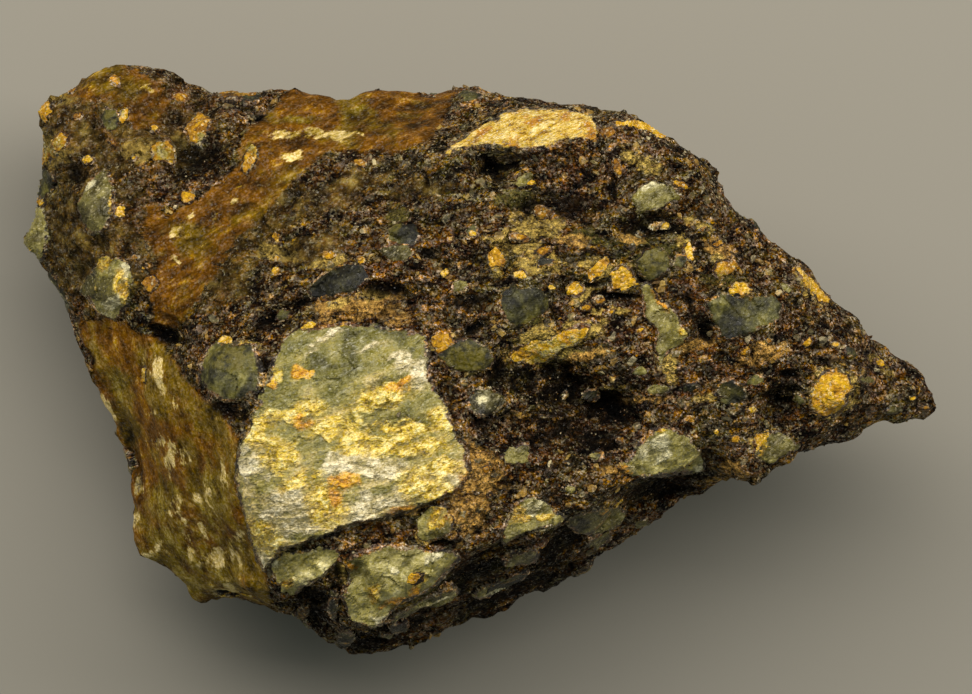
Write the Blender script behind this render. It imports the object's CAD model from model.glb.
import math
import random

import bmesh
import bpy
import numpy as np
from mathutils import Matrix, Vector, noise
from mathutils.bvhtree import BVHTree


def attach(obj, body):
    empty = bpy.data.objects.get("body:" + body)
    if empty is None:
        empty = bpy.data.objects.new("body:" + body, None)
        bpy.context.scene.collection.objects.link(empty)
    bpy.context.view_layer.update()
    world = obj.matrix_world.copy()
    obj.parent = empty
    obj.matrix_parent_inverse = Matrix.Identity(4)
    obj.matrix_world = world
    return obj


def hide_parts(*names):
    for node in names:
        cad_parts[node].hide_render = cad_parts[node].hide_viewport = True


mm = 0.001
noise.seed_set(7)       # noise vectors would otherwise start from the clock

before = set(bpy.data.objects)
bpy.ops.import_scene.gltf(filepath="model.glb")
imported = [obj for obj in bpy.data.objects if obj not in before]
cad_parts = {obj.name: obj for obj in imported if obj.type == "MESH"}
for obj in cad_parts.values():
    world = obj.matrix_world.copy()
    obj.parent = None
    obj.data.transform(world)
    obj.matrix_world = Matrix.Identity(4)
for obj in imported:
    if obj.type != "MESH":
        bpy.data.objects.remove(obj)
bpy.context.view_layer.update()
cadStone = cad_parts["breccia_stone"]

# All shapes are worked out in millimetres. Pixels are those of a 972 x 694 view from above; "plan" is
# the level plane through the stone's widest line, on which a pixel is exactly 0.1 mm.
view = {
    "lens": 300.0,              # mm, long, so that the stone is seen almost without perspective
    "sensor": 36.0,             # mm
    "imageSize": (972, 694),
    "pixel": 0.1,               # mm
    "planHeight": 18.0,         # mm
    "originPixel": (479, 360),  # lies over the middle of the stone
    "clip": (0.05, 20),         # m
}
eyeRise = view["pixel"] * view["imageSize"][0] * view["lens"] / view["sensor"]
eye = Vector((
    (view["imageSize"][0] / 2 - view["originPixel"][0]) * view["pixel"],
    (view["originPixel"][1] - view["imageSize"][1] / 2) * view["pixel"],
    view["planHeight"] + eyeRise,
))


def planPoint(px, py):
    middleX, middleY = view["originPixel"]
    return ((px - middleX) * view["pixel"], (middleY - py) * view["pixel"])


# measuring against outlines and strokes

raggedEdge = [(1.3, 0.26), (0.5, 0.16), (0.2, 0.07)]     # mm, size and reach of a broken rim's bends


def signedDepth(points, outline):
    # how far inside the outline each point is; outside it is negative
    nearest = np.full(len(points), np.inf)
    within = np.zeros(len(points), bool)
    for start, end in zip(outline, np.roll(outline, -1, axis=0)):
        side = end - start
        share = np.clip((points - start) @ side / (side @ side), 0, 1)
        nearest = np.minimum(nearest, np.linalg.norm(points - start - share[:, None] * side, axis=1))
        crossed = (start[1] > points[:, 1]) != (end[1] > points[:, 1])
        reach = start[0] + side[0] * (points[:, 1] - start[1]) / (side[1] or 1e-9)
        within ^= crossed & (points[:, 0] < reach)
    return np.where(within, nearest, -nearest)


def raggedness(point):
    # how far a broken outline strays from its drawn line here, mm
    return sum(reach * noise.noise(point / size) for size, reach in raggedEdge)


def alongAndAcross(point, turn):
    # how far a point lies along and across a line turned this many degrees from X
    lean = math.radians(turn)
    along = point.x * math.cos(lean) + point.y * math.sin(lean)
    return along, point.y * math.cos(lean) - point.x * math.sin(lean)


def smoothStep(low, high, value):
    share = np.clip((value - low) / (high - low), 0, 1)
    return share * share * (3 - 2 * share)


def seenPlan(points):
    # where each point shows on the plan
    share = eyeRise / (eye.z - points[:, 2])
    middle = np.array(eye.xy)
    return middle + (points[:, :2] - middle) * share[:, None]


def strokeCover(plan, strokes):
    # 1 in the middle of a stroke, 0 at its edge and beyond
    cover = np.zeros(len(plan))
    for px, py, length, width, turn in strokes:
        away = plan - np.array(planPoint(px, py))
        angle = math.radians(turn)
        along = away @ (math.cos(angle), math.sin(angle))
        across = away @ (-math.sin(angle), math.cos(angle))
        half = view["pixel"] / 2
        cover = np.maximum(cover, 1 - (along / (length * half)) ** 2 - (across / (width * half)) ** 2)
    return cover


# relief of broken stone: ledges, flat faces and rounded grain, with their size and height in mm

reliefs = {
    "layered": {"ledges": [(1.7, 0.15, 18), (0.7, 0.04, 24)],        # and which way they run, degrees
                "faces": [(2.4, 0.16), (0.9, 0.07)], "grain": [(0.28, 0.035)]},
    "fibrous": {"ledges": [(0.8, 0.1, 17)], "grain": [(2.2, 0.15), (0.9, 0.09)],
                "fibre": (17, 5.5)},                  # degrees, and times finer across than along
    "chipped": {"faces": [(2.7, 0.3), (1.0, 0.12)], "grain": [(0.3, 0.03)]},
    "smooth": {"faces": [(3.2, 0.28), (1.1, 0.06)], "grain": [(0.5, 0.03)]},
    "earthy": {"faces": [(1.0, 0.1)], "grain": [(0.4, 0.08), (0.2, 0.05)]},
}


def brokenFaces(point, size):
    # small flat faces, each tilted its own way, about -1 to 1
    corner = noise.voronoi(point / size)[1][0]
    return (point / size - corner).dot(noise.noise_vector(corner * 3.7)) * 2.2


def ledges(point, thickness, turn):
    # steps with one sharp edge each, where a layered stone parts, 0 to 1
    lean = math.radians(turn)
    level = point.dot(Vector((-math.sin(lean), math.cos(lean), 0.5))) / thickness
    level += 0.7 * noise.noise(point / (3 * thickness))
    return (level - math.floor(level)) ** 2


def reliefHeight(point, look):
    height = sum(high * ledges(point, size, turn) for size, high, turn in look.get("ledges", []))
    height += sum(high * brokenFaces(point, size) for size, high in look.get("faces", []))
    turn, squeeze = look.get("fibre", (0, 1))
    along, across = alongAndAcross(point, turn)
    fibre = Vector((along, squeeze * across, point.z))
    return height + sum(high * noise.noise(fibre / size) for size, high in look["grain"])


# the stone as packed, in mm, its corners a little worn

blankLook = {
    "evenEdge": 1.7,            # mm, longest edge before the corners are worn
    "leastEdge": 0.02,          # mm
    "wear": 2,                  # rounds of smoothing
    "foot": [(657, 524), (520, 612)],       # px, py: the low front edge stands back behind this line
    "mostTrim": 3.0, "trimFade": (-1, 2),   # mm, how far back, and where this fades at either end
}
mostSplits = 6                  # times that an edge is halved


def dropFlaps(bm):
    # takes away each two faces on the same corners, because there is nothing between them
    bm.verts.index_update()
    alone = {}
    flaps = []
    for face in bm.faces:
        corners = frozenset(vert.index for vert in face.verts)
        if corners in alone:
            flaps += [face, alone.pop(corners)]
        else:
            alone[corners] = face
    bmesh.ops.delete(bm, geom=flaps, context="FACES")


def refine(bm, allowedEdge):
    for _ in range(mostSplits):
        tooLong = [edge for edge in bm.edges if edge.calc_length() > allowedEdge(edge)]
        if not tooLong:
            return
        bmesh.ops.subdivide_edges(bm, edges=tooLong, cuts=1)
        bmesh.ops.triangulate(bm, faces=[face for face in bm.faces if len(face.verts) > 3])
        dropFlaps(bm)


def wornBlank():
    bm = bmesh.new()
    bm.from_mesh(cadStone.data)
    bmesh.ops.remove_doubles(bm, verts=bm.verts, dist=1e-7)
    bmesh.ops.scale(bm, vec=(1 / mm, 1 / mm, 1 / mm), verts=bm.verts)
    bmesh.ops.dissolve_degenerate(bm, dist=blankLook["leastEdge"], edges=bm.edges)
    bmesh.ops.triangulate(bm, faces=[face for face in bm.faces if len(face.verts) > 3])
    refine(bm, lambda edge: blankLook["evenEdge"])
    loose = [vert for vert in bm.verts if vert.co.z > 0.05]
    for _ in range(blankLook["wear"]):
        bmesh.ops.smooth_vert(bm, verts=loose, factor=0.5,
                              use_axis_x=True, use_axis_y=True, use_axis_z=True)
    return bm


def trimFoot(bm):
    points = np.array([vert.co for vert in bm.verts])
    start, end = (np.array(planPoint(*corner)) for corner in blankLook["foot"])
    length = np.linalg.norm(end - start)
    direction = (end - start) / length
    outward = np.array((-direction[1], direction[0]))
    away = seenPlan(points) - start
    along = away @ direction
    low, high = blankLook["trimFade"]
    fade = smoothStep(low, high, along) * smoothStep(low, high, length - along)
    moves = np.clip(away @ outward, 0, blankLook["mostTrim"]) * fade
    for vert, move in zip(bm.verts, moves):
        vert.co.xy -= Vector(outward) * move


blank = wornBlank()
trimFoot(blank)
blank.normal_update()
stoneTree = BVHTree.FromBMesh(blank)
print("blank ready", len(blank.faces), "faces")


# a clast is its outline in a flat frame of its own, and how that frame lies on the stone

clastRim = {
    "margin": 0.3,                          # mm of grid beyond the outline
    "sink": 0.4, "sinkOver": (-0.3, -0.03),  # mm, how deep the rim dips, and where
    "end": -0.25,                           # mm, where the broken face ends
    "floor": 0.4,                           # mm from its lowest point to the flat floor below it
    "lowest": -0.01,                        # mm, ground off underneath with the resting face
}


def flattened(clast, points):
    # the points in the clast's flat frame, and which of them lie near it
    if clast["seat"] is None:
        return seenPlan(points), np.ones(len(points), bool)
    place, right, up, out = (np.array(part) for part in clast["seat"])
    away = points - place
    return np.stack((away @ right, away @ up), 1), np.abs(away @ out) < 2.5


def surfaceUnder(clast, x, y):
    # where the stone's surface lies under a point of the flat frame
    if clast["seat"] is None:
        aim = (Vector((x, y, view["planHeight"])) - eye).normalized()
        return stoneTree.ray_cast(eye, aim)[:2]
    place, right, up, out = clast["seat"]
    spot, normal, _, away = stoneTree.ray_cast(place + right * x + up * y + out * 3, -out)
    if spot is None or away > 6 or normal.dot(out) < 0.2:
        return None, None
    return spot, normal


def angularOutline(length, width, turn, dice):
    # six to nine corners round an oval, none of them regular
    corners = dice.randint(6, 9)
    outline = []
    for i in range(corners):
        angle = math.tau * (i + dice.uniform(-0.3, 0.3)) / corners
        reach = dice.uniform(0.42, 0.56)
        corner = Vector((length * reach * math.cos(angle), width * reach * math.sin(angle)))
        corner.rotate(Matrix.Rotation(math.radians(turn), 2))
        outline.append(corner)
    return np.array(outline)


def drawnClasts(look, dice):
    clasts = []
    for outline, tone in zip(look["outlines"], look["tones"]):
        corners = np.array([planPoint(*corner) for corner in outline])
        clasts.append({"outline": corners, "tone": tone, "look": look, "seat": None})
    for px, py, length, width, turn in look.get("chips", []):
        shape = angularOutline(length * view["pixel"], width * view["pixel"], turn, dice)
        corners = shape + np.array(planPoint(px, py))
        tone = dice.uniform(*look["chipTones"])
        clasts.append({"outline": corners, "tone": tone, "look": look, "seat": None})
    return clasts


def clastPatch(clast):
    # a fine flat grid with the clast's outline
    outline, cell = clast["outline"], clast["look"]["cell"]
    margin = clastRim["margin"]
    low, high = outline.min(0) - margin, outline.max(0) + margin
    columns, rows = (max(3, math.ceil(side / cell)) for side in high - low)
    bm = bmesh.new()
    bmesh.ops.create_grid(bm, x_segments=columns, y_segments=rows, size=0.5)
    bmesh.ops.scale(bm, vec=(*(high - low), 1), verts=bm.verts)
    bmesh.ops.translate(bm, vec=(*((low + high) / 2), 0), verts=bm.verts)
    depths = signedDepth(np.array([vert.co.xy for vert in bm.verts]), outline)
    outside = [vert for vert, depth in zip(bm.verts, depths) if depth < -margin]
    bmesh.ops.delete(bm, geom=outside, context="VERTS")
    return bm


def dropPinches(bm):
    # takes away points where the patch only touches itself
    while True:
        pinched = [vert for vert in bm.verts
                   if not vert.link_faces or sum(edge.is_boundary for edge in vert.link_edges) > 2]
        if not pinched:
            break
        bmesh.ops.delete(bm, geom=pinched, context="VERTS")
    bmesh.ops.delete(bm, geom=[edge for edge in bm.edges if edge.is_wire], context="EDGES")


def clastBody(clast):
    # the clast's broken face, laid on the stone, sunk at its rim and closed below
    look = clast["look"]
    bm = clastPatch(clast)
    rimLayer = bm.verts.layers.float.new("rim")
    under = [surfaceUnder(clast, vert.co.x, vert.co.y) for vert in bm.verts]
    lost = [vert for vert, (spot, _) in zip(bm.verts, under) if spot is None]
    kept = [(vert, spot, normal) for vert, (spot, normal) in zip(bm.verts, under) if spot is not None]
    if len(kept) < 6:
        bm.clear()
        return bm
    flat = np.array([vert.co.xy for vert, _, _ in kept])
    depths = signedDepth(flat, clast["outline"]) + [raggedness(spot) for _, spot, _ in kept]
    out = sum((normal for _, _, normal in kept), Vector((0, 0, 0)))
    if clast["seat"] is None:
        out += Vector((0, 0, 0.3 * len(kept)))
    out.normalize()
    # the face tips a little, so that one side stands proud and the other dips under the cement
    lean = np.array(noise.noise_vector(Vector((*clast["outline"][0], 1.7))).xy) * look["tip"]
    lean += look.get("rise", (0.0, 0.0))
    lifts = look["stand"] + (flat - flat.mean(0)) @ lean
    lifts = np.clip(lifts, 0.3 * look["stand"], look["stand"] + look.get("proud", 0.5))
    lifts *= smoothStep(-0.02, look["edge"], depths)
    lifts -= clastRim["sink"] * (1 - smoothStep(*clastRim["sinkOver"], depths))
    relief = reliefs[look["relief"]]
    for (vert, spot, _), lift, depth in zip(kept, lifts, depths):
        vert.co = spot + out * (lift + reliefHeight(spot, relief) * max(0, min(1, depth / 0.3)))
    rimWidth = 0.25 + 0.13 * min(4.0, depths.max())         # mm, wider on a large clast
    for (vert, _, _), inward in zip(kept, smoothStep(0.0, rimWidth, depths)):
        vert[rimLayer] = 1 - inward
    buried = [vert for (vert, _, _), depth in zip(kept, depths) if depth < clastRim["end"]]
    bmesh.ops.delete(bm, geom=lost + buried, context="VERTS")
    dropPinches(bm)
    closeBelow(bm, out)
    return bm


def closeBelow(bm, out):
    # walls down from the rim to a flat floor inside the stone
    if not bm.verts:
        return
    floor = min(vert.co.dot(out) for vert in bm.verts) - clastRim["floor"]
    rim = [edge for edge in bm.edges if edge.is_boundary]
    walls = bmesh.ops.extrude_edge_only(bm, edges=rim)["geom"]
    for vert in (part for part in walls if isinstance(part, bmesh.types.BMVert)):
        vert.co += out * (floor - vert.co.dot(out))
    lowerRim = [part for part in walls if isinstance(part, bmesh.types.BMEdge) and part.is_boundary]
    bmesh.ops.holes_fill(bm, edges=lowerRim, sides=0)
    bmesh.ops.recalc_face_normals(bm, faces=bm.faces)


# stains that soak or crust the stone, as strokes: px, py, length, width in pixels, turn in degrees
stains = {
    "white": [
        (535, 508, 44, 18, 15), (650, 450, 50, 24, 30), (262, 556, 26, 40, 70),
        (400, 512, 60, 16, 20), (118, 300, 34, 16, 30), (100, 316, 30, 10, 0),
        (88, 182, 16, 22, 60), (126, 268, 12, 22, 0), (275, 545, 30, 14, 20), (330, 336, 40, 8, 25),
        (312, 350, 20, 8, 40), (375, 346, 50, 10, 15), (398, 356, 30, 10, 20),
        (412, 365, 40, 18, 10), (421, 378, 26, 34, 0), (254, 466, 34, 56, 60),
        (251, 452, 24, 30, 80), (291, 524, 64, 34, 20), (395, 500, 50, 28, 25),
        (430, 485, 56, 32, -10), (454, 480, 40, 26, 0), (350, 462, 90, 34, 15),
        (370, 506, 80, 34, 20), (285, 505, 70, 40, 20), (315, 520, 80, 30, 20),
        (390, 470, 60, 26, 10), (653, 186, 34, 9, 10), (661, 455, 30, 15, 30), (628, 469, 18, 8, 0),
        (699, 467, 16, 9, 0), (533, 497, 18, 9, -10), (482, 397, 20, 10, 30), (310, 554, 18, 9, 15),
        (434, 556, 34, 8, 20), (381, 621, 26, 12, 0), (396, 570, 12, 12, 0), (352, 203, 30, 6, 25),
        (510, 548, 20, 10, 50),
    ],
    "yellow": [
        (430, 492, 80, 34, 0), (258, 530, 26, 60, 70), (330, 512, 50, 36, 20),
        (124, 290, 16, 44, 10), (113, 205, 8, 36, 0), (103, 262, 26, 12, 0), (350, 452, 30, 12, 20),
        (440, 512, 40, 14, 30), (382, 398, 92, 26, 12), (336, 428, 70, 34, 10),
        (302, 412, 60, 26, 20), (266, 422, 60, 30, 10), (405, 446, 130, 30, 5),
        (278, 456, 50, 46, -20), (425, 486, 72, 46, -15), (325, 503, 60, 46, -40),
        (259, 538, 34, 78, 70), (404, 428, 90, 18, 0), (446, 421, 26, 44, 60),
        (360, 440, 70, 24, 10), (272, 375, 22, 30, 60), (445, 466, 50, 24, -10),
        (254, 438, 30, 30, 0), (300, 480, 60, 20, 15), (520, 237, 36, 18, -5),
        (545, 251, 22, 12, 10), (245, 390, 16, 12, 20), (686, 328, 12, 24, 20),
        (520, 514, 24, 14, 20), (545, 515, 26, 10, -10), (655, 431, 22, 10, 0),
        (287, 583, 20, 11, 10), (420, 578, 24, 18, 20), (373, 594, 18, 22, 0),
        (436, 524, 30, 14, 10), (760, 444, 22, 26, 40), (640, 345, 16, 20, 30),
        (300, 136, 66, 9, 2), (345, 134, 40, 6, 0), (148, 84, 20, 8, 0), (100, 262, 20, 24, 60),
    ],
    "orange": [
        (350, 308, 100, 34, 5), (385, 308, 70, 34, 0), (485, 480, 60, 50, 60),
        (466, 510, 50, 30, 50), (345, 481, 40, 24, 15), (336, 497, 22, 26, 0),
        (302, 373, 24, 14, 0), (270, 381, 18, 18, 0), (302, 422, 28, 18, 0), (405, 510, 50, 12, 10),
        (400, 385, 36, 12, 20), (365, 311, 60, 24, 10), (330, 320, 34, 12, 0),
        (398, 322, 30, 10, 10), (478, 452, 36, 30, 0), (755, 355, 80, 26, 15),
        (730, 472, 56, 26, 20), (700, 345, 50, 16, 0), (630, 240, 40, 16, 0), (575, 240, 40, 14, 0),
        (720, 250, 50, 22, -30), (620, 470, 40, 10, 0), (470, 512, 60, 50, 50),
        (348, 566, 12, 26, 60), (400, 601, 60, 9, 25), (100, 78, 60, 26, 10),
        (150, 112, 44, 36, 40), (640, 400, 60, 12, 0), (660, 300, 10, 40, 30),
        (590, 355, 60, 14, 10),
    ],
    "gold": [
        (535, 225, 70, 40, -5), (535, 262, 80, 34, 5), (548, 342, 120, 44, 14),
        (432, 532, 50, 24, 20), (225, 545, 60, 50, 30), (372, 296, 40, 14, 10),
        (515, 245, 74, 34, -10), (545, 262, 40, 20, 10), (497, 262, 24, 40, 0),
        (540, 213, 34, 18, -10), (624, 278, 44, 36, 0), (595, 268, 34, 34, 40),
        (578, 290, 40, 24, 0), (548, 346, 100, 34, 14), (590, 330, 50, 20, 15),
        (686, 250, 20, 44, 10), (720, 265, 34, 22, 0), (338, 300, 36, 14, 8), (445, 345, 40, 30, 0),
        (668, 370, 24, 40, 20), (762, 440, 40, 34, 30), (832, 392, 60, 60, 30),
        (240, 350, 50, 26, 0), (250, 385, 24, 26, 0), (330, 262, 50, 20, 10),
        (278, 255, 20, 50, 80), (420, 575, 40, 34, 20), (350, 575, 26, 60, 60), (60, 92, 50, 30, 0),
        (120, 95, 60, 20, 0), (140, 150, 50, 30, 0), (52, 150, 40, 50, 50), (640, 160, 60, 20, -30),
        (810, 290, 60, 20, -45), (700, 225, 40, 12, -20), (745, 300, 30, 14, 0),
        (610, 310, 50, 12, 0), (700, 400, 40, 14, 10), (880, 365, 40, 14, -40),
        (600, 395, 50, 14, 20),
    ],
    "olive": [
        (43, 88, 24, 20, 60), (52, 148, 24, 20, 70), (112, 112, 30, 20, 0), (163, 152, 30, 22, 0),
        (52, 148, 34, 20, 40), (202, 137, 14, 16, 0), (250, 150, 14, 20, 30),
        (660, 250, 60, 50, 10), (625, 245, 60, 26, 10), (560, 350, 90, 30, 14),
        (470, 360, 70, 40, 0), (515, 200, 60, 24, 10), (590, 235, 50, 20, 10),
        (395, 215, 40, 30, 0), (720, 280, 50, 20, 0), (392, 383, 50, 18, 15),
        (402, 424, 100, 24, 5), (372, 411, 60, 16, 10), (414, 454, 40, 14, 0),
        (530, 322, 40, 14, 10), (648, 262, 40, 30, 0), (232, 360, 50, 30, 0),
        (590, 520, 60, 20, 20), (440, 528, 28, 20, 0), (300, 120, 60, 12, 5), (355, 112, 50, 14, 5),
        (180, 560, 70, 50, 60), (235, 545, 20, 60, 70), (130, 285, 14, 36, 80),
        (600, 350, 30, 16, 0), (505, 562, 60, 16, 30), (440, 590, 70, 20, 20),
        (110, 290, 30, 50, 80), (205, 565, 50, 60, 60), (165, 500, 50, 50, 0),
        (215, 500, 50, 90, 10), (165, 545, 90, 60, 20), (220, 570, 60, 50, 0),
        (118, 385, 24, 44, 10), (130, 595, 60, 40, 0), (185, 590, 90, 40, 20),
    ],
    "mud": [
        (80, 140, 170, 150, 0), (95, 235, 170, 190, 0), (155, 125, 170, 130, 0),
        (255, 225, 170, 60, 32), (225, 280, 100, 60, 40), (345, 190, 140, 44, 25),
        (310, 250, 130, 40, 20), (420, 190, 90, 30, 10),
    ],
    "dark": [
        (470, 575, 120, 40, 30), (560, 545, 120, 40, 35), (400, 625, 90, 34, 20),
        (335, 600, 16, 60, 0), (560, 395, 80, 40, -10), (590, 440, 90, 60, -15),
        (620, 415, 70, 40, 10), (525, 385, 50, 40, -20), (540, 440, 60, 40, 0),
        (500, 375, 30, 30, 0), (660, 490, 110, 34, 8), (700, 325, 14, 60, 30),
        (495, 167, 44, 16, 10), (590, 285, 44, 8, -5), (640, 222, 80, 26, 5),
        (255, 335, 30, 18, 20), (300, 300, 36, 16, 20), (430, 253, 26, 14, 0),
        (200, 160, 60, 70, 60), (240, 97, 50, 30, 0), (165, 335, 50, 20, -20),
        (232, 411, 44, 22, 0), (131, 450, 18, 110, 12), (332, 579, 20, 20, 0),
        (310, 610, 60, 50, 0), (370, 640, 80, 30, 0), (440, 544, 30, 6, 10), (421, 511, 16, 5, 30),
        (520, 590, 200, 50, 20), (230, 605, 60, 30, -20), (790, 375, 30, 14, 0),
        (75, 175, 30, 30, 0), (560, 205, 120, 40, 0), (385, 290, 60, 20, 0), (612, 185, 20, 50, 0),
        (470, 300, 60, 30, 0), (617, 296, 70, 11, -6), (492, 378, 15, 66, 5),
        (560, 378, 70, 22, -15), (600, 402, 90, 34, -20), (648, 230, 90, 16, 3),
        (505, 160, 50, 22, 12), (480, 420, 24, 40, 20), (470, 330, 50, 14, 30),
        (270, 320, 60, 16, 30), (225, 408, 40, 24, 10), (310, 600, 40, 60, 20),
        (336, 575, 16, 40, 10), (690, 300, 16, 60, 30), (706, 330, 16, 40, 30),
        (790, 395, 30, 20, 20), (560, 425, 110, 60, -5),
    ],
    "cream": [
        (312, 135, 100, 11, -2), (285, 133, 50, 8, 4), (345, 134, 50, 8, -4),
        (234, 552, 10, 36, 20), (148, 554, 22, 10, 0), (205, 530, 7, 34, 12), (171, 460, 11, 44, 0),
        (157, 440, 11, 16, 0), (184, 455, 12, 26, 0), (74, 334, 18, 44, 15), (154, 413, 9, 8, 0),
        (107, 410, 16, 40, 15), (115, 444, 14, 34, 15), (147, 360, 6, 44, 5),
        (159, 372, 12, 50, 10), (160, 548, 22, 16, 20), (190, 545, 16, 36, 10),
        (220, 561, 15, 15, 0), (130, 547, 14, 32, 35), (132, 518, 11, 24, 10),
        (240, 538, 12, 22, 20), (198, 498, 16, 10, 0), (213, 558, 36, 18, 30),
        (176, 505, 24, 12, 60), (140, 490, 12, 30, 0), (226, 590, 30, 12, 20), (297, 137, 66, 8, 2),
        (340, 134, 40, 5, 0), (292, 155, 24, 12, 15), (241, 185, 20, 6, 35), (175, 233, 18, 6, 35),
        (177, 261, 6, 13, 20), (257, 228, 6, 8, 20), (148, 88, 20, 10, 0), (218, 215, 16, 4, 35),
        (236, 204, 18, 4, 35), (190, 213, 12, 4, 40), (205, 243, 14, 4, 35), (176, 400, 5, 30, 8),
        (183, 520, 6, 30, 20), (210, 500, 5, 40, 18), (222, 470, 4, 40, 15),
    ],
}


strokeBends = [(1.6, 0.55), (0.6, 0.3)]     # mm, size and reach of the bends in the strokes


def markStains(bm, kinds, seen):
    # a value per point for each stain; where the stone is hidden from above noise draws the strokes
    points = np.array([vert.co for vert in bm.verts])
    plan = seenPlan(points)
    (wide, far), (fine, near) = strokeBends
    for number, kind in enumerate(kinds):
        drift = [far * noise.noise_vector(point / wide + Vector((0, 0, 9.1 * number)))
                 + near * noise.noise_vector(point / fine) for point in map(Vector, points)]
        cover = strokeCover(plan + np.array(drift)[:, :2], stains[kind])
        layer = bm.verts.layers.float.new(kind)
        offset = Vector((31.7 * (number + 1), 0, 0))
        for vert, level, shown in zip(bm.verts, cover, seen):
            if not shown:
                level = 0.9 * noise.noise(vert.co / 5 + offset) + 0.1
            vert[layer] = max(0.0, level)


def seenFromAbove(bm):
    # which points nothing hides from above
    seen = []
    for vert in bm.verts:
        spot = stoneTree.ray_cast(eye, (vert.co - eye).normalized())[0]
        seen.append(spot is not None and (spot - vert.co).length < 1.5)
    return np.array(seen)


def finishPiece(name, bm):
    bmesh.ops.scale(bm, vec=(mm, mm, mm), verts=bm.verts)
    bm.normal_update()
    mesh = bpy.data.meshes.new(name)
    bm.to_mesh(mesh)
    bm.free()
    piece = bpy.data.objects.new(name, mesh)
    bpy.context.scene.collection.objects.link(piece)
    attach(piece, "root")
    print(name, len(mesh.polygons), "faces")
    return piece


def clastPiece(name, clasts, kinds):
    # all the clasts of one kind as one piece
    together = bmesh.new()
    together.verts.layers.float.new("tone")
    for clast in clasts:
        bm = clastBody(clast)
        ownTone = bm.verts.layers.float.new("tone")
        for vert in bm.verts:
            vert[ownTone] = clast["tone"]
            vert.co.z = max(vert.co.z, clastRim["lowest"])
        part = bpy.data.meshes.new("part")
        bm.to_mesh(part)
        bm.free()
        together.from_mesh(part)
        bpy.data.meshes.remove(part)
    markStains(together, kinds, seenFromAbove(together))
    return finishPiece(name, together)


quartzBlock = {
    "outlines": [[
        (264, 387), (272, 364), (280, 340), (291, 330), (314, 326), (348, 323), (377, 325), (411, 330),
        (426, 335), (429, 353), (431, 374), (438, 391), (449, 408), (457, 435), (466, 446), (470, 465),
        (469, 478), (460, 489), (440, 499), (419, 508), (390, 517), (348, 528), (314, 539), (283, 551),
        (270, 566), (264, 577), (257, 560), (249, 534), (240, 500), (234, 479), (238, 448), (243, 433),
        (253, 412),
    ]],
    "tones": [0.5],
    "cell": 0.17, "stand": 0.16, "edge": 0.3, "tip": 0.01, "relief": "layered",
    "rise": (0.0, -0.10), "proud": 0.7,      # mm per mm towards +X and +Y, and the most, mm
}
creamClast = {
    "outlines": [[
        (439, 160), (452, 145), (474, 129), (495, 119), (506, 111), (539, 107), (567, 109), (588, 114),
        (597, 123), (596, 140), (571, 141), (552, 148), (534, 151), (517, 152), (495, 147), (471, 148),
        (452, 153),
    ]],
    "tones": [0.8],
    "cell": 0.14, "stand": 0.14, "edge": 0.2, "tip": 0.02, "relief": "fibrous",
}
quartzClasts = {
    "outlines": [
        [(270, 562), (283, 553), (310, 549), (336, 548), (342, 556), (330, 570), (318, 580), (300, 588),
         (292, 601), (281, 592), (272, 577)],
        [(345, 560), (354, 552), (387, 543), (424, 547), (456, 550), (460, 560), (448, 572), (440, 582),
         (424, 594), (403, 602), (391, 613), (381, 625), (371, 629), (354, 622), (346, 611), (342, 594),
         (348, 578)],
        [(415, 535), (417, 519), (430, 506), (444, 502), (454, 519), (452, 533), (436, 541), (424, 543)],
        [(503, 548), (503, 530), (511, 508), (522, 497), (533, 494), (546, 502), (556, 512), (570, 520),
         (556, 527), (538, 529), (518, 536)],
        [(618, 467), (630, 457), (640, 441), (655, 428), (666, 425), (690, 436), (704, 458), (706, 472),
         (686, 474), (660, 476), (640, 478), (625, 473)],
        [(500, 458), (509, 446), (529, 443), (530, 462), (522, 466), (506, 464)],
        [(636, 186), (650, 180), (666, 184), (682, 193), (683, 199), (668, 205), (650, 210), (636, 213),
         (633, 199)],
        [(642, 301), (655, 298), (672, 307), (680, 318), (689, 335), (684, 346), (670, 352), (661, 366),
         (655, 350), (656, 330), (645, 316)],
        [(85, 186), (95, 172), (108, 169), (115, 189), (114, 210), (106, 230), (91, 236), (79, 223),
         (77, 204)],
        [(91, 272), (100, 255), (120, 256), (132, 266), (134, 285), (129, 306), (115, 320), (96, 315),
         (86, 296)],
        [(19, 212), (30, 205), (43, 208), (48, 222), (47, 250), (39, 266), (24, 262), (18, 240)],
        [(467, 399), (474, 389), (488, 386), (500, 392), (506, 401), (497, 412), (480, 417), (469, 411)],
        [(751, 452), (762, 437), (770, 431), (779, 430), (790, 439), (800, 446), (786, 456), (772, 463),
         (757, 461)],
        [(640, 285), (651, 283), (658, 292), (655, 302), (644, 303)],
        [(378, 249), (392, 243), (408, 244), (416, 252), (408, 262), (392, 264)],
        [(565, 521), (585, 510), (612, 505), (626, 512), (622, 526), (600, 534), (578, 534)],
    ],
    "tones": [0.95, 0.8, 0.7, 0.68, 0.75, 0.72, 0.6, 0.6, 0.42, 0.68, 0.66, 0.15, 0.38, 0.55, 0.2, 0.35],
    "chipTones": (0.1, 0.8),
    "chips": [
        (597, 456, 16, 12, 20), (570, 488, 11, 9, 0), (785, 288, 15, 11, -55), (866, 380, 20, 11, 0),
        (617, 211, 9, 6, 0), (333, 605, 9, 30, 0), (894, 410, 18, 9, 10), (522, 558, 34, 18, 10),
        (486, 592, 26, 10, 25), (600, 540, 30, 14, 30), (400, 628, 20, 12, 10),
        (659, 390, 24, 14, 10), (116, 81, 16, 9, -20), (93, 405, 9, 26, 20), (130, 548, 8, 20, 35),
        (640, 524, 18, 10, 30), (725, 392, 20, 14, 20), (460, 287, 22, 12, 20), (523, 180, 24, 14, 30),
    ],
    "cell": 0.17, "stand": 0.20, "edge": 0.25, "tip": 0.12, "relief": "chipped",
}
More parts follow.
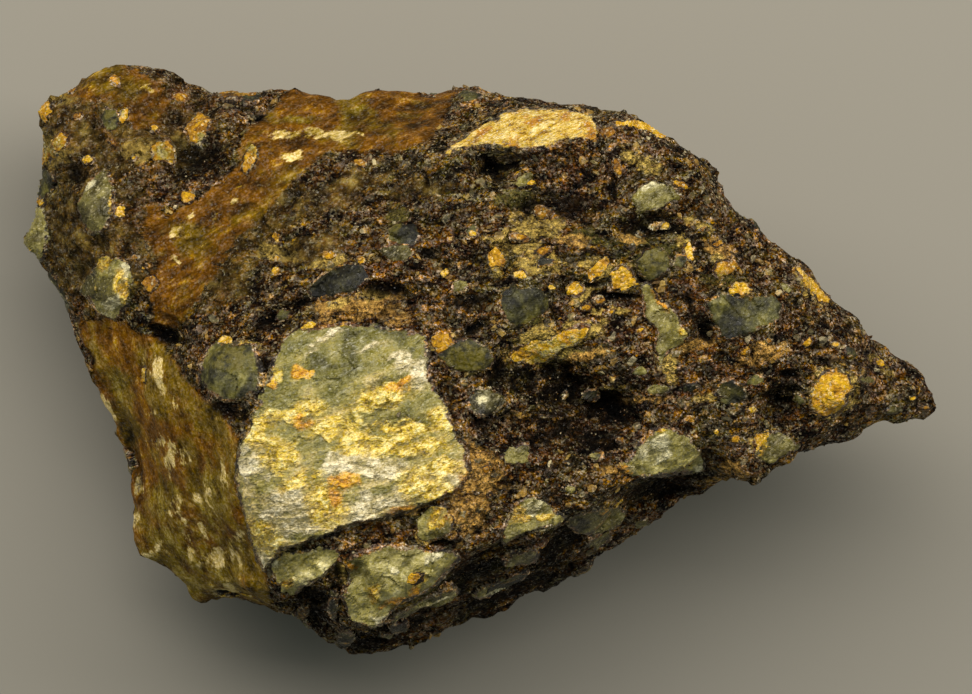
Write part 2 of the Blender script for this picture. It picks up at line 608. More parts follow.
chertClasts = {
    "outlines": [
        [(200, 360), (207, 348), (216, 341), (232, 343), (255, 345), (260, 360), (263, 380), (258, 391),
         (245, 399), (225, 401), (206, 393), (198, 378)],
        [(498, 305), (501, 290), (511, 285), (540, 288), (551, 299), (549, 312), (532, 322), (515, 329),
         (505, 321)],
        [(703, 303), (719, 293), (752, 295), (771, 294), (783, 305), (782, 317), (766, 327), (752, 334),
         (733, 341), (721, 338), (714, 324)],
        [(306, 291), (320, 275), (345, 263), (365, 265), (372, 278), (356, 290), (330, 300), (313, 299)],
        [(436, 356), (450, 341), (470, 338), (489, 348), (496, 358), (490, 370), (470, 372), (448, 368)],
        [(386, 229), (398, 222), (415, 224), (423, 236), (415, 246), (398, 247), (387, 241)],
        [(99, 120), (104, 108), (117, 107), (121, 118), (117, 133), (107, 131)],
        [(30, 186), (33, 172), (46, 167), (55, 176), (52, 192), (40, 199)],
        [(636, 262), (645, 248), (662, 247), (673, 258), (668, 274), (652, 282), (640, 276)],
        [(716, 385), (730, 378), (746, 384), (748, 398), (735, 406), (720, 402)],
    ],
    "tones": [0.64, 0.38, 0.52, 0.0, 0.55, 0.2, 0.5, 0.4, 0.33, 0.4],
    "chipTones": (0.0, 0.7),
    "chips": [
        (755, 380, 20, 12, 20), (283, 315, 14, 12, 20), (472, 232, 18, 12, 30), (545, 262, 16, 10, 20),
        (640, 372, 18, 12, 0), (690, 388, 16, 12, 30), (850, 352, 20, 12, -40), (250, 95, 26, 16, 0),
        (470, 96, 30, 12, 0), (430, 92, 22, 12, 10), (800, 400, 14, 12, 0), (590, 395, 20, 14, 10),
        (680, 262, 16, 14, 0), (560, 600, 30, 14, 25), (345, 640, 24, 16, 20), (300, 628, 22, 14, -30),
    ],
    "cell": 0.17, "stand": 0.16, "edge": 0.25, "tip": 0.12, "relief": "smooth",
}
ochreClasts = {
    "outlines": [
        [(510, 356), (520, 343), (545, 337), (575, 325), (592, 325), (585, 338), (565, 349), (545, 362),
         (530, 366), (515, 362)],
        [(807, 398), (812, 386), (822, 374), (836, 366), (847, 372), (850, 382), (855, 388), (848, 396),
         (847, 406), (838, 415), (824, 419), (811, 409)],
        [(429, 341), (436, 331), (449, 333), (455, 343), (448, 350), (439, 355), (433, 347)],
        [(609, 270), (622, 264), (632, 271), (639, 284), (626, 293), (609, 291)],
        [(487, 252), (496, 242), (503, 256), (501, 267), (490, 269)],
        [(588, 272), (595, 261), (608, 255), (611, 263), (601, 277), (590, 281)],
        [(727, 289), (735, 281), (748, 284), (754, 290), (742, 297), (730, 295)],
        [(37, 100), (44, 90), (51, 96), (52, 112), (46, 122), (38, 117)],
        [(184, 130), (190, 118), (200, 112), (210, 119), (209, 132), (200, 145), (190, 142)],
        [(149, 150), (156, 141), (169, 139), (175, 147), (174, 166), (166, 163), (155, 161)],
        [(40, 162), (48, 145), (60, 132), (70, 136), (66, 146), (52, 160), (43, 168)],
        [(238, 172), (245, 155), (252, 142), (261, 149), (256, 161), (246, 174)],
        [(117, 121), (120, 107), (129, 108), (130, 119), (122, 126)],
        [(714, 272), (717, 261), (735, 259), (740, 268), (732, 275), (718, 277)],
        [(753, 450), (756, 436), (769, 430), (776, 440), (770, 452), (760, 456)],
        [(792, 268), (800, 266), (815, 280), (832, 301), (826, 304), (806, 288)],
        [(612, 121), (640, 119), (662, 129), (672, 137), (660, 139), (636, 129), (616, 128)],
    ],
    "tones": [0.62, 0.5, 0.4, 0.57, 0.45, 0.45, 0.65, 0.45, 0.35, 0.45, 0.45, 0.45, 0.55, 0.35, 0.6,
              0.6, 0.6],
    "chipTones": (0.15, 0.75),
    "chips": [
        (545, 213, 22, 12, -15), (520, 275, 15, 12, -20), (617, 166, 9, 22, 10), (609, 132, 14, 12, 0),
        (520, 237, 24, 9, -5), (545, 251, 16, 8, 10), (530, 183, 9, 8, 0), (552, 287, 11, 9, 0),
        (576, 289, 18, 14, 10), (473, 234, 11, 9, 0), (444, 274, 12, 8, 0), (328, 256, 18, 9, 10),
        (361, 260, 9, 9, 0), (359, 163, 13, 8, 0), (681, 185, 13, 9, -20), (690, 252, 11, 26, 15),
        (716, 244, 12, 9, 10), (640, 235, 8, 6, 0), (225, 341, 18, 10, 0), (244, 390, 14, 9, 20),
        (150, 284, 18, 21, 0), (136, 258, 8, 5, 0), (142, 268, 10, 7, -20), (277, 238, 9, 14, 0),
        (277, 259, 9, 8, 20), (276, 271, 10, 7, 30), (58, 85, 12, 10, 0), (72, 90, 11, 11, 0),
        (180, 97, 17, 11, 10), (240, 116, 19, 7, -40), (153, 128, 11, 8, 0), (87, 160, 12, 10, 0),
        (111, 142, 13, 6, -35), (120, 211, 8, 17, 0), (40, 202, 10, 9, 0), (188, 197, 16, 12, -20),
        (135, 158, 9, 8, 0), (77, 116, 12, 8, 30), (302, 614, 12, 9, 20), (287, 582, 17, 9, 10),
        (415, 578, 20, 14, 20), (373, 594, 14, 17, 0), (348, 567, 9, 18, 30), (445, 519, 10, 8, 20),
        (717, 432, 7, 9, 0), (752, 409, 11, 9, 20), (673, 375, 6, 12, 0), (700, 360, 6, 9, 0),
        (807, 343, 13, 8, 20), (768, 341, 10, 6, 0), (880, 362, 10, 9, 0), (868, 423, 10, 7, 0),
        (310, 326, 22, 9, 10), (486, 470, 8, 7, 0), (489, 494, 10, 8, 0), (566, 395, 6, 7, 0),
        (503, 262, 8, 6, 0), (600, 300, 10, 7, 10), (703, 228, 9, 6, 30), (655, 226, 8, 6, 0),
        (640, 330, 9, 7, 30), (610, 312, 12, 7, 20), (585, 308, 12, 6, 10), (560, 318, 12, 6, 20),
        (700, 270, 8, 8, 0), (665, 225, 9, 6, 0), (760, 268, 8, 6, 20), (745, 352, 9, 6, 0),
        (780, 350, 12, 7, 15), (835, 345, 9, 7, 0), (910, 398, 9, 7, -20), (925, 408, 10, 6, 10),
        (735, 440, 9, 7, 0), (690, 420, 9, 6, 0), (620, 440, 7, 5, 0), (567, 464, 8, 4, -30),
    ],
    "cell": 0.14, "stand": 0.18, "edge": 0.2, "tip": 0.12, "relief": "earthy",
}
blockClasts = drawnClasts(quartzBlock, random.Random(1))
creamClasts = drawnClasts(creamClast, random.Random(2))
quartzKind = drawnClasts(quartzClasts, random.Random(3))
chertKind = drawnClasts(chertClasts, random.Random(4))
ochreKind = drawnClasts(ochreClasts, random.Random(5))

# clasts of the same kinds on the sides that the plan doesn't show
hiddenClasts = {
    "count": 90, "tries": 900,
    "sizes": (2.0, 11.0), "smallness": 2.6,     # mm, most of them near the small end
    "widths": (0.5, 0.85),      # of their length
    "spacing": 0.62,            # of the two lengths, between two middles
    "steepest": 0.25,           # a face that looks up more than this is left as drawn
    "kinds": [                  # the clasts, their look, their share, and their greatest length in mm
        (quartzKind, quartzClasts, 0.34, 11.0),
        (chertKind, chertClasts, 0.26, 11.0),
        (ochreKind, ochreClasts, 0.4, 4.0),
    ],
    "seed": 23,
}


def scatterHidden():
    dice = random.Random(hiddenClasts["seed"])
    blank.faces.ensure_lookup_table()
    faces = [face for face in blank.faces if face.normal.z < hiddenClasts["steepest"]]
    areas = [face.calc_area() for face in faces]
    kinds, looks, shares, longest = zip(*hiddenClasts["kinds"])
    small, large = hiddenClasts["sizes"]
    taken = []
    for _ in range(hiddenClasts["tries"]):
        face = dice.choices(faces, areas)[0]
        length = small + (large - small) * dice.random() ** hiddenClasts["smallness"]
        place = face.calc_center_median()
        spacing = hiddenClasts["spacing"]
        if any((place - other).length < spacing * (length + reach) for other, reach in taken):
            continue
        out = face.normal.copy()
        right = out.orthogonal().normalized()
        kind = dice.choices(range(3), shares)[0]
        length = min(length, longest[kind])
        width = length * dice.uniform(*hiddenClasts["widths"])
        outline = angularOutline(length, width, dice.uniform(0, 180), dice)
        tone = dice.uniform(*looks[kind]["chipTones"])
        kinds[kind].append({"outline": outline, "tone": tone, "look": looks[kind],
                            "seat": (place, right, out.cross(right), out)})
        taken.append((place, length))
        if len(taken) == hiddenClasts["count"]:
            break


scatterHidden()
everyClast = blockClasts + creamClasts + quartzKind + chertKind + ochreKind
print("clasts", len(everyClast))


# the dark cement that holds the clasts, with a socket under each of them

cementLook = {
    "fineEdge": 0.43,           # mm, longest edge on faces that are seen from above
    "sideEdge": 1.0,            # mm
    "baseEdge": 2.0,            # mm
    "chips": [(3.0, 0.34), (1.3, 0.2)],          # size and height in mm of the flat broken faces
    "lumps": [(4.0, 0.22), (0.8, 0.1)],          # size and height in mm of the rounded relief
    "pitSize": 2.8, "pitShare": 0.22, "pitDepth": 0.5,   # mm, where a small clast fell out
    "socketDepth": 0.5, "grooveDepth": 0.08,     # mm, under the clasts and round their rims
    "streakHeight": 0.07,       # mm, ridges of the smooth stained skin
    "streakTurns": [30, 76, 10],                  # degrees, one for each skin area
    "crackDepth": 0.6,          # mm, where a dark stroke is drawn
    "mostRelief": 0.9,          # mm
    "hollows": {"hollow": 14, "recess": 160},     # rounds of evening out, more for the wider hollows
}
skinAreas = [
    [(150, 200), (165, 215), (200, 195), (235, 165), (245, 130), (262, 115), (290, 85), (330, 92),
     (360, 86), (420, 82), (458, 90), (450, 115), (432, 140), (388, 157), (330, 152), (300, 175),
     (265, 215), (240, 240), (215, 275), (195, 310), (180, 330), (150, 325), (148, 290), (155, 260),
     (140, 230)],
    [(140, 328), (160, 335), (190, 380), (208, 398), (238, 432), (242, 480), (250, 520), (264, 560),
     (272, 585), (275, 612), (240, 620), (180, 600), (130, 560), (112, 520), (112, 470), (98, 400),
     (85, 350), (72, 320), (110, 318)],
    [(60, 96), (80, 60), (120, 60), (160, 80), (172, 100), (165, 128), (135, 132), (112, 104), (80, 98)],
]


def cementEdge(edge):
    faces = edge.link_faces
    up = sum(face.normal.z for face in faces) / len(faces)
    if up < -0.9 and edge.verts[0].co.z < 0.4:
        return cementLook["baseEdge"]
    return cementLook["fineEdge"] if up > 0.12 else cementLook["sideEdge"]


def socketDepths(points, seen):
    # how deep inside the nearest clast's outline each point lies
    depth = np.full(len(points), -9.0)
    for clast in everyClast:
        flat, near = flattened(clast, points)
        near = near & (seen if clast["seat"] is None else ~seen)
        low, high = clast["outline"].min(0) - 1, clast["outline"].max(0) + 1
        near &= ((flat > low) & (flat < high)).all(1)
        if near.any():
            depth[near] = np.maximum(depth[near], signedDepth(flat[near], clast["outline"]))
    return depth


def skinCover(plan, seen):
    # how far inside each smooth stained area a point is, faded over a millimetre
    covers = []
    for area in skinAreas:
        outline = np.array([planPoint(*corner) for corner in area])
        covers.append(smoothStep(-0.5, 0.9, signedDepth(plan, outline)) * seen)
    return np.array(covers)


def streaks(point, turn):
    along, across = alongAndAcross(point, turn)
    coarse = noise.noise(Vector((along / 3.5, across / 0.55, point.z / 2)))
    return coarse + 0.6 * noise.noise(Vector((along / 1.6, across / 0.28, point.z)))


def cementHeight(point, skins):
    skin = max(skins)
    rough = sum(height * brokenFaces(point, size) for size, height in cementLook["chips"])
    rough += sum(height * noise.noise(point / size) for size, height in cementLook["lumps"])
    cell = noise.voronoi(point / cementLook["pitSize"])
    if noise.noise(cell[1][0] * 5.3) > 0.5 - cementLook["pitShare"]:
        rough -= cementLook["pitDepth"] * max(0.0, 1 - 2.2 * cell[0][0])
    if skin < 0.01:
        return rough
    ridges = sum(share * streaks(point, turn) for share, turn in zip(skins, cementLook["streakTurns"]))
    return (1 - 0.8 * skin) * rough + cementLook["streakHeight"] * ridges


def hollowness(bm, rounds):
    # how far each point lies below its surroundings, mm
    points = np.array([vert.co for vert in bm.verts])
    normals = np.array([vert.normal for vert in bm.verts])
    ends = np.array([[vert.index for vert in edge.verts] for edge in bm.edges])
    count = np.bincount(ends.ravel(), minlength=len(points))
    evened = points.copy()
    for _ in range(rounds):
        total = np.zeros_like(evened)
        for axis in range(3):
            total[:, axis] = np.bincount(ends[:, 0], evened[ends[:, 1], axis], len(points))
            total[:, axis] += np.bincount(ends[:, 1], evened[ends[:, 0], axis], len(points))
        evened = 0.5 * evened + 0.5 * total / count[:, None]
    return ((evened - points) * normals).sum(1)


def brecciaCement():
    bm = blank.copy()
    refine(bm, cementEdge)
    bm.normal_update()
    bm.verts.index_update()
    points = np.array([vert.co for vert in bm.verts])
    seen = seenFromAbove(bm)
    depths = socketDepths(points, seen) + [raggedness(vert.co) for vert in bm.verts]
    skins = skinCover(seenPlan(points), seen)
    sunk = cementLook["socketDepth"] * smoothStep(0.0, 0.5, depths)
    gaps = np.array([max(0.0, 0.35 + 2.2 * noise.noise(vert.co / 3.0)) for vert in bm.verts])
    sunk += cementLook["grooveDepth"] * gaps * np.exp(-((depths + 0.1) / 0.28) ** 2)
    darkening = strokeCover(seenPlan(points), stains["dark"])
    normals = [vert.normal.copy() for vert in bm.verts]
    most = cementLook["mostRelief"]
    for vert, normal, down, ownSkins, dark in zip(bm.verts, normals, sunk, skins.T, darkening):
        height = cementHeight(vert.co, ownSkins) - down - cementLook["crackDepth"] * max(0.0, dark)
        height = max(-most, min(0.6 * most, height))
        if normal.z < -0.95 and vert.co.z < 0.3:
            height = min(height, 0.0) * 0.6
        vert.co += normal * height
        vert.co.z = max(vert.co.z, 0.0)
    bm.normal_update()
    marks = {"skin": skins.max(0), "facet": skins[1], "socket": depths}
    marks.update((name, hollowness(bm, rounds)) for name, rounds in cementLook["hollows"].items())
    for name, values in marks.items():
        layer = bm.verts.layers.float.new(name)
        for vert, value in zip(bm.verts, values):
            vert[layer] = value
    markStains(bm, ["orange", "dark", "cream", "olive", "gold", "mud"], seen)
    return bm


cement = finishPiece("breccia_cement", brecciaCement())
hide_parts("breccia_stone")

block = clastPiece("quartz_block", blockClasts, ["white", "yellow", "orange", "olive"])
cream = clastPiece("cream_clast", creamClasts, [])
quartz = clastPiece("quartz_clasts", quartzKind,
                    ["white", "yellow", "orange", "olive", "dark"])
chert = clastPiece("chert_clasts", chertKind, ["white", "olive", "orange", "dark"])
ochre = clastPiece("ochre_clasts", ochreKind, ["white", "orange", "olive", "dark"])


def toLinear(hexColour):
    parts = [int(hexColour[i:i + 2], 16) / 255 for i in (1, 3, 5)]
    linear = [part / 12.92 if part <= 0.04045 else ((part + 0.055) / 1.055) ** 2.4 for part in parts]
    return (*linear, 1)


def put(tree, kind, parts=None, out=0):
    # adds a node: a part is one of its own settings, an input's value or a link, by name or number
    node = tree.nodes.new(kind)
    for key, value in (parts or {}).items():
        if key == "stops":
            ramp = node.color_ramp.elements
            while len(ramp) < len(value):
                ramp.new(1)
            for element, (position, hexColour) in zip(ramp, value):
                element.position = position
                element.color = toLinear(hexColour)
        elif isinstance(value, bpy.types.NodeSocket):
            tree.links.new(value, node.inputs[key])
        elif isinstance(key, int) or key[0].isupper():
            isColour = isinstance(value, str) and value.startswith("#")
            node.inputs[key].default_value = toLinear(value) if isColour else value
        else:
            setattr(node, key, value)
    return node.outputs[out] if node.outputs else node


# loose grains of sand and crumbs of clasts, strewn over the cement by geometry nodes

sandLook = {
    "avoid": ["skin", "mud"],
    "perSquare": 0.6,                       # grains to the square millimetre
    "size": (0.10, 0.27), "flat": 0.85,     # mm across, and thickness to width
    "chipped": 0.03, "seed": 5,             # mm, how far the corners are knocked about
}
crumbLook = {
    "avoid": ["skin", "mud", "dark"],
    "perSquare": 0.17,
    "size": (0.3, 1.3), "flat": 0.4,
    "chipped": 0.12, "seed": 9,
}
strewnWhere = {
    "mark": 0.35,               # a mark that is avoided is fainter than this
    "socket": -0.15,            # mm, outside every clast's outline by this much
    "height": 1.2,              # mm above the ground
}


def strewn(name, look):
    seed = look["seed"]
    low, high = (side / 2 * mm for side in look["size"])
    knock = look["chipped"] * mm
    tree = bpy.data.node_groups.new(name, "GeometryNodeTree")
    for way in ("INPUT", "OUTPUT"):
        tree.interface.new_socket("Geometry", in_out=way, socket_type="NodeSocketGeometry")
    smooth = 0.0
    for mark in look["avoid"]:
        level = put(tree, "GeometryNodeInputNamedAttribute", {"data_type": "FLOAT", 0: mark})
        smooth = put(tree, "ShaderNodeMath", {"operation": "MAXIMUM", 0: smooth, 1: level})
    socket = put(tree, "GeometryNodeInputNamedAttribute", {"data_type": "FLOAT", 0: "socket"})
    height = put(tree, "ShaderNodeSeparateXYZ", {0: put(tree, "GeometryNodeInputPosition")}, 2)
    bare = put(tree, "ShaderNodeMath", {"operation": "LESS_THAN", 0: smooth, 1: strewnWhere["mark"]})
    outside = put(tree, "ShaderNodeMath",
                  {"operation": "LESS_THAN", 0: socket, 1: strewnWhere["socket"]})
    above = put(tree, "ShaderNodeMath",
                {"operation": "GREATER_THAN", 0: height, 1: strewnWhere["height"] * mm})
    both = put(tree, "ShaderNodeMath", {"operation": "MULTIPLY", 0: bare, 1: outside})
    allowed = put(tree, "ShaderNodeMath", {"operation": "MULTIPLY", 0: both, 1: above})
    points = put(tree, "GeometryNodeDistributePointsOnFaces",
                 {"distribute_method": "RANDOM", "Density": look["perSquare"] / mm ** 2, "Seed": seed,
                  "Mesh": put(tree, "NodeGroupInput"), "Selection": allowed})
    spin = put(tree, "FunctionNodeRandomValue",
               {"data_type": "FLOAT_VECTOR", 0: (-0.5, -0.5, 0), 1: (0.5, 0.5, math.tau), "Seed": seed})
    turned = put(tree, "FunctionNodeRotateEuler",
                 {"space": "LOCAL", 0: points.node.outputs["Rotation"], 1: spin})
    sides = put(tree, "FunctionNodeRandomValue",
                {"data_type": "FLOAT_VECTOR", 0: (low, low, low * look["flat"]),
                 1: (high, high, high * look["flat"]), "Seed": seed + 1})
    grain = put(tree, "GeometryNodeMeshIcoSphere", {"Radius": 1.0, "Subdivisions": 1})
    grains = put(tree, "GeometryNodeInstanceOnPoints",
                 {"Points": points, "Instance": grain, "Rotation": turned, "Scale": sides})
    tone = put(tree, "FunctionNodeRandomValue", {"data_type": "FLOAT", "Seed": seed + 2}, 1)
    toned = put(tree, "GeometryNodeStoreNamedAttribute",
                {"data_type": "FLOAT", "domain": "INSTANCE", "Name": "tone",
                 "Geometry": grains, "Value": tone})
    knocks = put(tree, "FunctionNodeRandomValue",
                 {"data_type": "FLOAT_VECTOR", 0: (-knock,) * 3, 1: (knock,) * 3, "Seed": seed + 3})
    angular = put(tree, "GeometryNodeSetPosition",
                  {"Geometry": put(tree, "GeometryNodeRealizeInstances", {0: toned}), "Offset": knocks})
    put(tree, "NodeGroupOutput", {0: angular})
    piece = bpy.data.objects.new(name, cement.data.copy())
    bpy.context.scene.collection.objects.link(piece)
    piece.modifiers.new("strew", "NODES").node_group = tree
    evaluated = piece.evaluated_get(bpy.context.evaluated_depsgraph_get())
    mesh = bpy.data.meshes.new_from_object(evaluated)
    piece.modifiers.clear()
    piece.data = mesh
    mesh.name = name
    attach(piece, "root")
    print(name, len(mesh.polygons), "faces")
    return piece


sand = strewn("sand_grains", sandLook)
crumbs = strewn("crumbs", crumbLook)


# materials

def perMm(size):
    # a texture's scale for features of this size in mm
    return 1 / (size * mm)


def newMaterial(name, settings):
    material = bpy.data.materials.new(name)
    material.use_nodes = True
    tree = material.node_tree
    shader = tree.nodes["Principled BSDF"]
    for key, value in settings.items():
        shader.inputs[key].default_value = value
    return material, tree, shader, put(tree, "ShaderNodeTexCoord", {}, "Object")


def layered(turn, stretch):
    # settings of a Mapping node that turns X along the layers and squeezes the pattern across them
    return {"vector_type": "TEXTURE", "Rotation": (0, 0, math.radians(turn)),
            "Scale": (1, 1 / stretch, 1 / (0.6 * stretch))}


def clouds(tree, place, size, detail, roughness, which=0, distortion=0.0):
    # fractal noise, 0 to 1 about 0.5; "which" picks another field of the same kind
    field = put(tree, "ShaderNodeVectorMath", {"operation": "ADD", 0: place, 1: (20 * which * mm,) * 3})
    return put(tree, "ShaderNodeTexNoise", {"Vector": field, "Scale": perMm(size), "Detail": detail,
                                            "Roughness": roughness, "Distortion": distortion})


def summed(tree, parts, base=0.0):
    # the sum of (share, pattern) pairs
    total = base
    for share, part in parts:
        total = put(tree, "ShaderNodeMath", {"operation": "MULTIPLY_ADD", 0: part, 1: share, 2: total})
    return total


def stained(tree, mark, pattern, soft=0.07, broken=3.0):
    # how far a stain covers: full where it is drawn, in ragged patches where it fades out
    cover = put(tree, "ShaderNodeAttribute", {"attribute_name": mark}, "Fac")
    level = summed(tree, ((0.85, cover), (broken, pattern)), -broken / 2)
    spread = put(tree, "ShaderNodeMapRange", {0: level, 1: 0.5 - soft, 2: 0.5 + soft})
    near = put(tree, "ShaderNodeMapRange", {0: cover, 2: 0.35})
    return put(tree, "ShaderNodeMath", {"operation": "MULTIPLY", 0: spread, 1: near})


def brokenGrains(tree, place, size):
    # grains of this size: three chances of its own for each, and the height of their small tilted faces
    cells = put(tree, "ShaderNodeTexVoronoi", {"Vector": place, "Scale": perMm(size)}, "Color")
    middle = cells.node.outputs["Position"]
    tilt = put(tree, "ShaderNodeVectorMath",
               {"operation": "MULTIPLY_ADD", 0: cells, 1: (2,) * 3, 2: (-1,) * 3})
    away = put(tree, "ShaderNodeVectorMath", {"operation": "SUBTRACT", 0: place, 1: middle})
    height = put(tree, "ShaderNodeVectorMath", {"operation": "DOT_PRODUCT", 0: away, 1: tilt}, "Value")
    chances = put(tree, "ShaderNodeSeparateColor", {0: cells}).node.outputs
    return chances, summed(tree, ((perMm(size), height),))


def grained(tree, colour, chances, shades, pale, share):
    # each grain is a little lighter and greyer or darker and richer than the next, and a few are clean
    own = put(tree, "ShaderNodeMapRange", {0: chances[0], 3: shades[0], 4: shades[1]})
    rich = put(tree, "ShaderNodeMapRange", {0: own, 1: 0.1, 2: 1.9, 3: 1.7, 4: 0.44})
    shaded = put(tree, "ShaderNodeHueSaturation", {"Color": colour, "Saturation": rich, "Value": own})
    clean = put(tree, "ShaderNodeMapRange", {0: chances[1], 1: 0.86, 4: share})
    return put(tree, "ShaderNodeMix", {"data_type": "RGBA", 0: clean, 6: shaded, 7: pale}, 2)


def surfaced(tree, shader, colour, height, relief):
    # the finish goes to the shader, with its relief in mm
    tree.links.new(colour, shader.inputs["Base Color"])
    bump = put(tree, "ShaderNodeBump", {"Distance": relief * mm, "Height": height})
    tree.links.new(bump, shader.inputs["Normal"])


# the cement's stuff: a dark film of iron oxide, and patches of other minerals in it (size in mm, how
# common, as a threshold, its dark and light colour)
film = {
    "lean": 10, "stretch": 1.7,      # degrees and times, the fabric that runs through the cement
    "tones": [(0.28, "#020100"), (0.41, "#190c02"), (0.51, "#432c10"), (0.62, "#7d6232"),
              (0.80, "#bfa56c")],
    "patches": [
        (2.8, 0.560, "#1e1a05", "#70683b"),      # green clay
        (3.6, 0.570, "#2b1802", "#8b601d"),      # rust
        (2.2, 0.565, "#241a10", "#83786a"),      # grey silt
        (1.7, 0.590, "#5f430d", "#e2b654"),      # ochre
        (1.3, 0.590, "#423c20", "#c5bf9c"),      # bits of quartz
        (2.0, 0.550, "#010000", "#0c0702"),      # pores
    ],
    "shades": (0.1, 1.85), "pale": "#bfb08a",
    "stains": [("olive", "#1f1c06", "#716c34"), ("orange", "#4c2906", "#ffc868"),
               ("gold", "#40290a", "#ffdc72")],
}


def cementStuff(tree, place):
    # the gritty cement's colour, height, grain chances, mottle and shading; clasts wear it at their rims
    swirl = put(tree, "ShaderNodeTexNoise",
                {"Vector": place, "Scale": perMm(3.0), "Detail": 2.0}, "Color")
    swept = put(tree, "ShaderNodeVectorMath",
                {"operation": "MULTIPLY_ADD", 0: swirl, 1: (1.6 * mm,) * 3, 2: place})
    fabric = put(tree, "ShaderNodeMapping", {"Vector": swept, **layered(film["lean"], film["stretch"])})
    mottle = clouds(tree, fabric, 2.0, 5.0, 0.72)
    grit = clouds(tree, place, 0.45, 2.0, 0.8)
    chances, faces = brokenGrains(tree, place, 0.19)            # fine sand
    _, chips = brokenGrains(tree, fabric, 0.5)
    light = summed(tree, ((1.2, mottle), (0.55, grit)), -0.37)
    colour = put(tree, "ShaderNodeValToRGB", {0: light, "stops": film["tones"]})
    shade = put(tree, "ShaderNodeMapRange",
                {0: summed(tree, ((0.6, mottle), (0.7, grit))), 1: 0.48, 2: 0.82})
    for number, (size, common, dark, bright) in enumerate(film["patches"]):
        field = clouds(tree, fabric, size, 4.0, 0.64, number + 1)
        edge = put(tree, "ShaderNodeMapRange",
                   {0: field, 1: common - 0.035, 2: common + 0.035, 4: 0.85})
        mineral = put(tree, "ShaderNodeMix", {"data_type": "RGBA", 0: shade, 6: dark, 7: bright}, 2)
        colour = put(tree, "ShaderNodeMix", {"data_type": "RGBA", 0: edge, 6: colour, 7: mineral}, 2)
    broad = clouds(tree, place, 9.0, 2.0, 0.5, 11)
    region = put(tree, "ShaderNodeValToRGB", {0: broad, "stops": [(0.4, "#ffe2c8"), (0.6, "#f0e8c6")]})
    colour = put(tree, "ShaderNodeMix",
                 {"data_type": "RGBA", "blend_type": "MULTIPLY", 0: 1.0, 6: colour, 7: region}, 2)
    colour = grained(tree, colour, chances, film["shades"], film["pale"], 0.65)
    height = summed(tree, ((1.6, mottle), (0.9, grit), (0.9, faces), (0.7, chips)))
    return colour, height, chances, mottle, shade


def cementRim(tree, place, colour):
    # a clast's rim is cement: it has the cement's own pattern, so the line between the two is ragged
    edge, _, _, mottle, _ = cementStuff(tree, place)
    dirty = summed(tree, ((0.85, stained(tree, "dark", mottle, 0.35)),))
    colour = put(tree, "ShaderNodeMix", {"data_type": "RGBA", 0: dirty, 6: colour, 7: "#0a0803"}, 2)
    return put(tree, "ShaderNodeMix",
               {"data_type": "RGBA", 0: stained(tree, "rim", mottle, 0.1), 6: colour, 7: edge}, 2)


skinFinish = {
    "streaks": [(30, 2.6), (104, 2.4)],  # degrees and stretch, on the upper skin and the steep face
    "brown": [(0.30, "#130900"), (0.42, "#392202"), (0.52, "#5f3c05"), (0.62, "#80540a"),
              (0.80, "#bb913c")],
    "olive": [(0.30, "#1a1403"), (0.42, "#3f3208"), (0.54, "#6e5c1a"), (0.75, "#b09a52")],
    "steep": 0.07,           # how much lighter the steep left face is worn
    "cream": [(0.36, "#6a5722"), (0.47, "#98813e"), (0.60, "#e4cb8a")],
    "mud": [(0.36, "#171004"), (0.46, "#382a0c"), (0.56, "#604a1a"), (0.70, "#96803e")],
}


